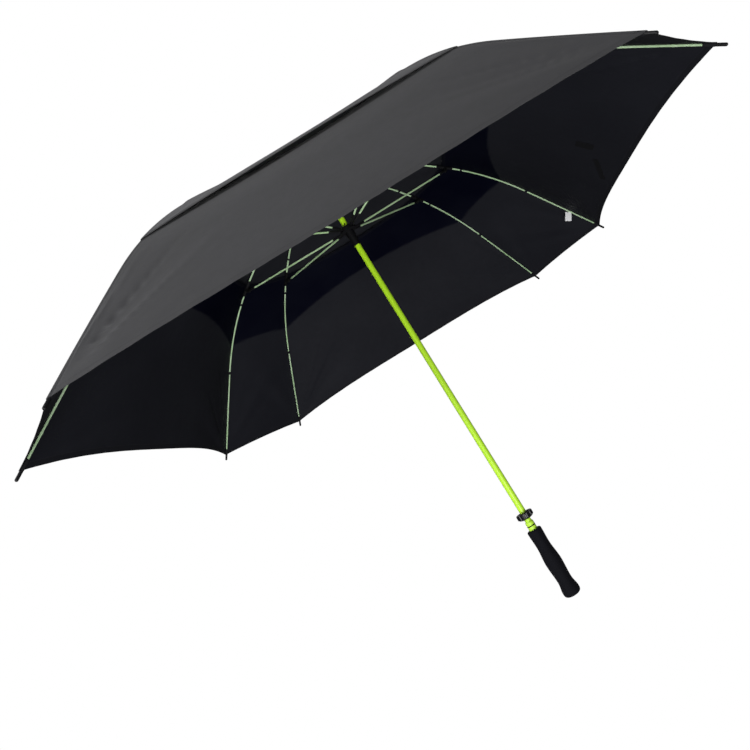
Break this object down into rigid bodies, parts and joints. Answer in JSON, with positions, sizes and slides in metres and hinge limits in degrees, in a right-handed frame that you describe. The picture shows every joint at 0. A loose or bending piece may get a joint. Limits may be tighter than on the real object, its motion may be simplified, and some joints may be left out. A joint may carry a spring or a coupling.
{
  "type": "golf umbrella",
  "caption": "Large vented double-canopy golf umbrella with paired ribs giving a squared outline, sliding runner, foam grip and folding rib-and-stretcher frame.",
  "frame": {"origin": "centre of the grip's bottom end, on the shaft axis", "axes": "+Z along the shaft from the grip to the ferrule; a wide canopy panel faces each of +X, -X, +Y and -Y"},
  "size_m": [1.226, 1.226, 1.0862],
  "materials": {
    "lime_paint": "bright lime green gloss enamel",
    "black_plastic": "moulded black, lightly textured",
    "pale_fibre": "pale green glass-fibre rod",
    "foam_black": "fine closed-cell foam, matt",
    "lime_plastic": "lime green moulding",
    "grey_cloth": "charcoal woven polyester, dark inside",
    "black_cloth": "black ribbon",
    "white_cloth": "white satin label, blank",
    "bright_steel": "bright wire",
    "dark_steel": "darkened steel pin"
  },
  "bodies": {
    "shaft": {"shaft_tube": "lime_paint", "top_notch": "black_plastic", "notch_wire": "bright_steel", "top_ferrule": "black_plastic", "ferrule_washer": "black_plastic", "stop_pin": "dark_steel", "catch_spring": "bright_steel", "tip_cup": "black_plastic", "handle_sleeve": "lime_plastic", "grip_foam": "foam_black", "grip_core": "black_plastic", "canopy_lower": "grey_cloth", "canopy_upper": "grey_cloth", "tie_strap": "black_cloth", "care_label": "white_cloth"},
    "catch": {"top_catch": "bright_steel"},
    "runner": {"runner_hub": "black_plastic", "runner_sleeve": "black_plastic", "runner_wire": "bright_steel"},
    "rib_1": {"rib_1": "pale_fibre", "rib_joint_1": "black_plastic"},
    "rib_end_1": {"rib_end_1": "pale_fibre", "tip_cap_1": "black_plastic"},
    "stretcher_1": {"stretcher_1": "pale_fibre"},
    "rib_2": {"rib_2": "pale_fibre", "rib_joint_2": "black_plastic"},
    "rib_end_2": {"rib_end_2": "pale_fibre", "tip_cap_2": "black_plastic"},
    "stretcher_2": {"stretcher_2": "pale_fibre"},
    "rib_3": {"rib_3": "pale_fibre", "rib_joint_3": "black_plastic"},
    "rib_end_3": {"rib_end_3": "pale_fibre", "tip_cap_3": "black_plastic"},
    "stretcher_3": {"stretcher_3": "pale_fibre"},
    "rib_4": {"rib_4": "pale_fibre", "rib_joint_4": "black_plastic"},
    "rib_end_4": {"rib_end_4": "pale_fibre", "tip_cap_4": "black_plastic"},
    "stretcher_4": {"stretcher_4": "pale_fibre"},
    "rib_5": {"rib_5": "pale_fibre", "rib_joint_5": "black_plastic"},
    "rib_end_5": {"rib_end_5": "pale_fibre", "tip_cap_5": "black_plastic"},
    "stretcher_5": {"stretcher_5": "pale_fibre"},
    "rib_6": {"rib_6": "pale_fibre", "rib_joint_6": "black_plastic"},
    "rib_end_6": {"rib_end_6": "pale_fibre", "tip_cap_6": "black_plastic"},
    "stretcher_6": {"stretcher_6": "pale_fibre"},
    "rib_7": {"rib_7": "pale_fibre", "rib_joint_7": "black_plastic"},
    "rib_end_7": {"rib_end_7": "pale_fibre", "tip_cap_7": "black_plastic"},
    "stretcher_7": {"stretcher_7": "pale_fibre"},
    "rib_8": {"rib_8": "pale_fibre", "rib_joint_8": "black_plastic"},
    "rib_end_8": {"rib_end_8": "pale_fibre", "tip_cap_8": "black_plastic"},
    "stretcher_8": {"stretcher_8": "pale_fibre"}
  },
  "joints": [
    {"name": "fold", "type": "hinge", "parent": "shaft", "child": "rib_1", "pos_m": [-0.00858, -0.01231, 1.018], "axis": [0.8205, -0.5717, 0], "range_deg": [0, 75], "deforming": ["canopy_lower", "canopy_upper", "tie_strap", "care_label"]},
    {"name": "rib_flex_1", "type": "hinge", "parent": "rib_1", "child": "rib_end_1", "pos_m": [-0.21553, -0.3093, 0.9458], "axis": [0.8205, -0.5717, 0], "range_deg": [-21.82, 0]},
    {"name": "stretcher_pivot_1", "type": "hinge", "parent": "rib_1", "child": "stretcher_1", "pos_m": [-0.20067, -0.28798, 0.944], "axis": [0.8205, -0.5717, 0], "range_deg": [-150, 0]},
    {"name": "rib_fold_2", "type": "hinge", "parent": "shaft", "child": "rib_2", "pos_m": [-0.01231, -0.00858, 1.018], "axis": [0.5717, -0.8205, 0], "range_deg": [0, 75]},
    {"name": "rib_flex_2", "type": "hinge", "parent": "rib_2", "child": "rib_end_2", "pos_m": [-0.3093, -0.21553, 0.9458], "axis": [0.5717, -0.8205, 0], "range_deg": [-21.82, 0]},
    {"name": "stretcher_pivot_2", "type": "hinge", "parent": "rib_2", "child": "stretcher_2", "pos_m": [-0.28798, -0.20067, 0.944], "axis": [0.5717, -0.8205, 0], "range_deg": [-150, 0]},
    {"name": "rib_fold_3", "type": "hinge", "parent": "shaft", "child": "rib_3", "pos_m": [-0.01231, 0.00858, 1.018], "axis": [-0.5717, -0.8205, 0], "range_deg": [0, 75]},
    {"name": "rib_flex_3", "type": "hinge", "parent": "rib_3", "child": "rib_end_3", "pos_m": [-0.3093, 0.21553, 0.9458], "axis": [-0.5717, -0.8205, 0], "range_deg": [-21.82, 0]},
    {"name": "stretcher_pivot_3", "type": "hinge", "parent": "rib_3", "child": "stretcher_3", "pos_m": [-0.28798, 0.20067, 0.944], "axis": [-0.5717, -0.8205, 0], "range_deg": [-150, 0]},
    {"name": "rib_fold_4", "type": "hinge", "parent": "shaft", "child": "rib_4", "pos_m": [-0.00858, 0.01231, 1.018], "axis": [-0.8205, -0.5717, 0], "range_deg": [0, 75]},
    {"name": "rib_flex_4", "type": "hinge", "parent": "rib_4", "child": "rib_end_4", "pos_m": [-0.21553, 0.3093, 0.9458], "axis": [-0.8205, -0.5717, 0], "range_deg": [-21.82, 0]},
    {"name": "stretcher_pivot_4", "type": "hinge", "parent": "rib_4", "child": "stretcher_4", "pos_m": [-0.20067, 0.28798, 0.944], "axis": [-0.8205, -0.5717, 0], "range_deg": [-150, 0]},
    {"name": "rib_fold_5", "type": "hinge", "parent": "shaft", "child": "rib_5", "pos_m": [0.00858, 0.01231, 1.018], "axis": [-0.8205, 0.5717, 0], "range_deg": [0, 75]},
    {"name": "rib_flex_5", "type": "hinge", "parent": "rib_5", "child": "rib_end_5", "pos_m": [0.21553, 0.3093, 0.9458], "axis": [-0.8205, 0.5717, 0], "range_deg": [-21.82, 0]},
    {"name": "stretcher_pivot_5", "type": "hinge", "parent": "rib_5", "child": "stretcher_5", "pos_m": [0.20067, 0.28798, 0.944], "axis": [-0.8205, 0.5717, 0], "range_deg": [-150, 0]},
    {"name": "rib_fold_6", "type": "hinge", "parent": "shaft", "child": "rib_6", "pos_m": [0.01231, 0.00858, 1.018], "axis": [-0.5717, 0.8205, 0], "range_deg": [0, 75]},
    {"name": "rib_flex_6", "type": "hinge", "parent": "rib_6", "child": "rib_end_6", "pos_m": [0.3093, 0.21553, 0.9458], "axis": [-0.5717, 0.8205, 0], "range_deg": [-21.82, 0]},
    {"name": "stretcher_pivot_6", "type": "hinge", "parent": "rib_6", "child": "stretcher_6", "pos_m": [0.28798, 0.20067, 0.944], "axis": [-0.5717, 0.8205, 0], "range_deg": [-150, 0]},
    {"name": "rib_fold_7", "type": "hinge", "parent": "shaft", "child": "rib_7", "pos_m": [0.01231, -0.00858, 1.018], "axis": [0.5717, 0.8205, 0], "range_deg": [0, 75]},
    {"name": "rib_flex_7", "type": "hinge", "parent": "rib_7", "child": "rib_end_7", "pos_m": [0.3093, -0.21553, 0.9458], "axis": [0.5717, 0.8205, 0], "range_deg": [-21.82, 0]},
    {"name": "stretcher_pivot_7", "type": "hinge", "parent": "rib_7", "child": "stretcher_7", "pos_m": [0.28798, -0.20067, 0.944], "axis": [0.5717, 0.8205, 0], "range_deg": [-150, 0]},
    {"name": "rib_fold_8", "type": "hinge", "parent": "shaft", "child": "rib_8", "pos_m": [0.00858, -0.01231, 1.018], "axis": [0.8205, 0.5717, 0], "range_deg": [0, 75]},
    {"name": "rib_flex_8", "type": "hinge", "parent": "rib_8", "child": "rib_end_8", "pos_m": [0.21553, -0.3093, 0.9458], "axis": [0.8205, 0.5717, 0], "range_deg": [-21.82, 0]},
    {"name": "stretcher_pivot_8", "type": "hinge", "parent": "rib_8", "child": "stretcher_8", "pos_m": [0.20067, -0.28798, 0.944], "axis": [0.8205, 0.5717, 0], "range_deg": [-150, 0]},
    {"name": "runner_travel", "type": "hinge", "parent": "stretcher_1", "child": "runner", "pos_m": [-0.00858, -0.01231, 0.87], "axis": [0.8205, -0.5717, 0], "range_deg": [0, 75]},
    {"name": "catch_press", "type": "slide", "parent": "shaft", "child": "catch", "axis": [0, -1, 0], "range_m": [0, 0.0019], "stiffness_N_per_m": 400, "deforming": ["catch_spring"]}
  ],
  "couplings": [
    {"joint": "rib_flex_1", "follows": "fold", "ratio": -0.291},
    {"joint": "stretcher_pivot_1", "follows": "fold", "ratio": -2},
    {"joint": "rib_fold_2", "follows": "fold", "ratio": 1},
    {"joint": "rib_flex_2", "follows": "fold", "ratio": -0.291},
    {"joint": "stretcher_pivot_2", "follows": "fold", "ratio": -2},
    {"joint": "rib_fold_3", "follows": "fold", "ratio": 1},
    {"joint": "rib_flex_3", "follows": "fold", "ratio": -0.291},
    {"joint": "stretcher_pivot_3", "follows": "fold", "ratio": -2},
    {"joint": "rib_fold_4", "follows": "fold", "ratio": 1},
    {"joint": "rib_flex_4", "follows": "fold", "ratio": -0.291},
    {"joint": "stretcher_pivot_4", "follows": "fold", "ratio": -2},
    {"joint": "rib_fold_5", "follows": "fold", "ratio": 1},
    {"joint": "rib_flex_5", "follows": "fold", "ratio": -0.291},
    {"joint": "stretcher_pivot_5", "follows": "fold", "ratio": -2},
    {"joint": "rib_fold_6", "follows": "fold", "ratio": 1},
    {"joint": "rib_flex_6", "follows": "fold", "ratio": -0.291},
    {"joint": "stretcher_pivot_6", "follows": "fold", "ratio": -2},
    {"joint": "rib_fold_7", "follows": "fold", "ratio": 1},
    {"joint": "rib_flex_7", "follows": "fold", "ratio": -0.291},
    {"joint": "stretcher_pivot_7", "follows": "fold", "ratio": -2},
    {"joint": "rib_fold_8", "follows": "fold", "ratio": 1},
    {"joint": "rib_flex_8", "follows": "fold", "ratio": -0.291},
    {"joint": "stretcher_pivot_8", "follows": "fold", "ratio": -2},
    {"joint": "runner_travel", "follows": "fold", "ratio": 1}
  ]
}
